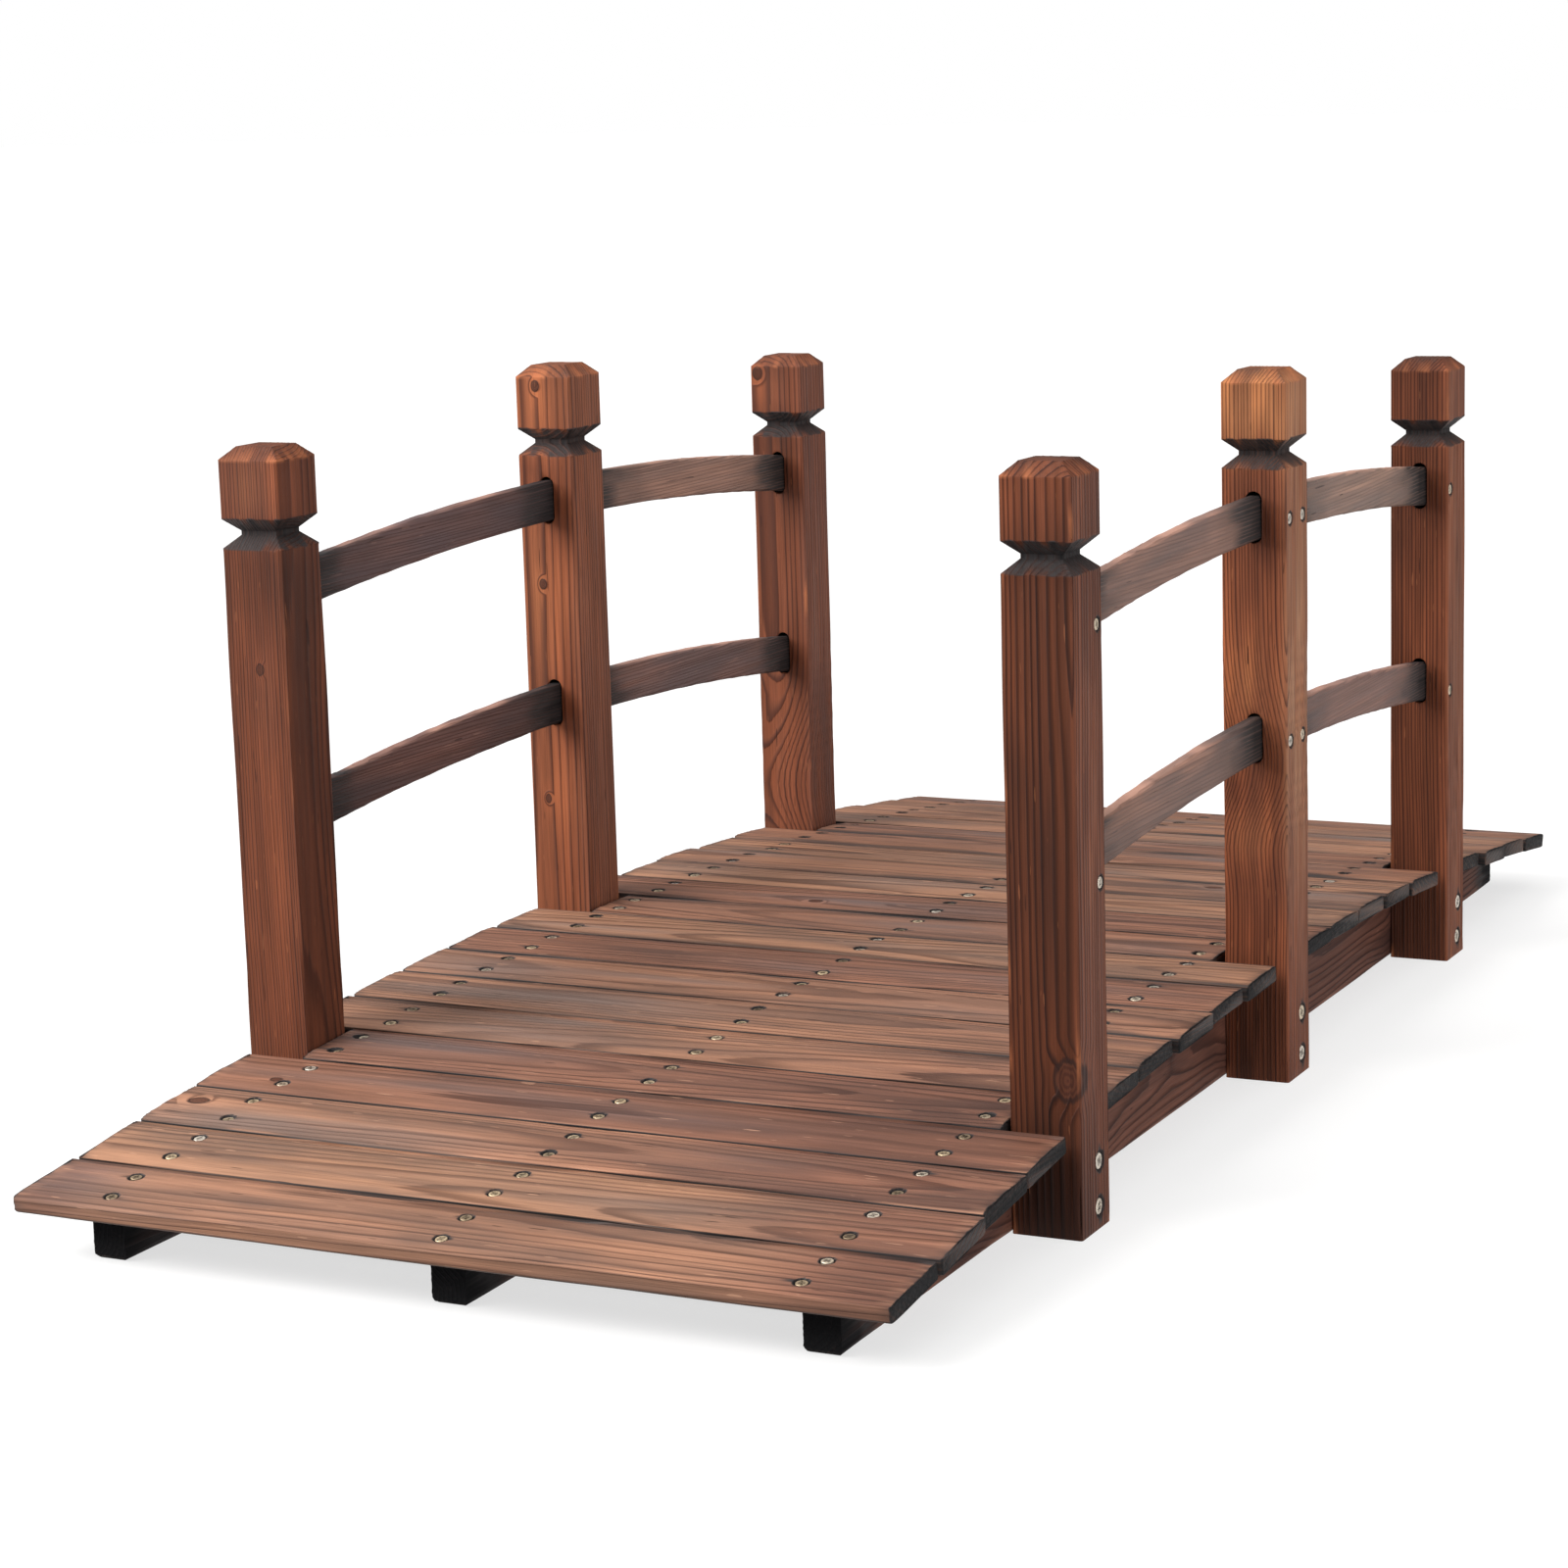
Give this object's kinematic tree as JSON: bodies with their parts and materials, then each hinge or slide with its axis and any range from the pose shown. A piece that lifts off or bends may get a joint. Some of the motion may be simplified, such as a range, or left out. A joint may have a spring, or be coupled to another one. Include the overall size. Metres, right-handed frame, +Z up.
{
  "type": "moon bridge",
  "caption": "Small arched wooden garden footbridge: a bowed board deck on runners, with capped square posts and arched handrails.",
  "frame": {"origin": "middle of the bridge at ground level", "axes": "+Z up, length of the walk along Y with the front end at -Y, +X to the right when walking on from the front"},
  "size_m": [0.659, 1.5002, 0.5455],
  "materials": {
    "bearer_wood": "dark stained, brushed",
    "deck_wood": "stained and brushed along the grain",
    "post_wood": "stained and brushed along the grain",
    "rail_wood": "dark stained, brushed"
  },
  "bodies": {
    "root": {"left_bearer": "bearer_wood", "middle_bearer": "bearer_wood", "right_bearer": "bearer_wood", "deck_board_01": "deck_wood", "deck_board_02": "deck_wood", "deck_board_03": "deck_wood", "deck_board_04": "deck_wood", "deck_board_05": "deck_wood", "deck_board_06": "deck_wood", "deck_board_07": "deck_wood", "deck_board_08": "deck_wood", "deck_board_09": "deck_wood", "deck_board_10": "deck_wood", "deck_board_11": "deck_wood", "deck_board_12": "deck_wood", "deck_board_13": "deck_wood", "deck_board_14": "deck_wood", "deck_board_15": "deck_wood", "deck_board_16": "deck_wood", "deck_board_17": "deck_wood", "deck_board_18": "deck_wood", "deck_board_19": "deck_wood", "deck_board_20": "deck_wood", "deck_board_21": "deck_wood", "front_left_post": "post_wood", "front_right_post": "post_wood", "middle_left_post": "post_wood", "middle_right_post": "post_wood", "rear_left_post": "post_wood", "rear_right_post": "post_wood", "front_left_upper_rail": "rail_wood", "front_left_lower_rail": "rail_wood", "front_right_upper_rail": "rail_wood", "front_right_lower_rail": "rail_wood", "rear_left_upper_rail": "rail_wood", "rear_left_lower_rail": "rail_wood", "rear_right_upper_rail": "rail_wood", "rear_right_lower_rail": "rail_wood"}
  },
  "joints": []
}
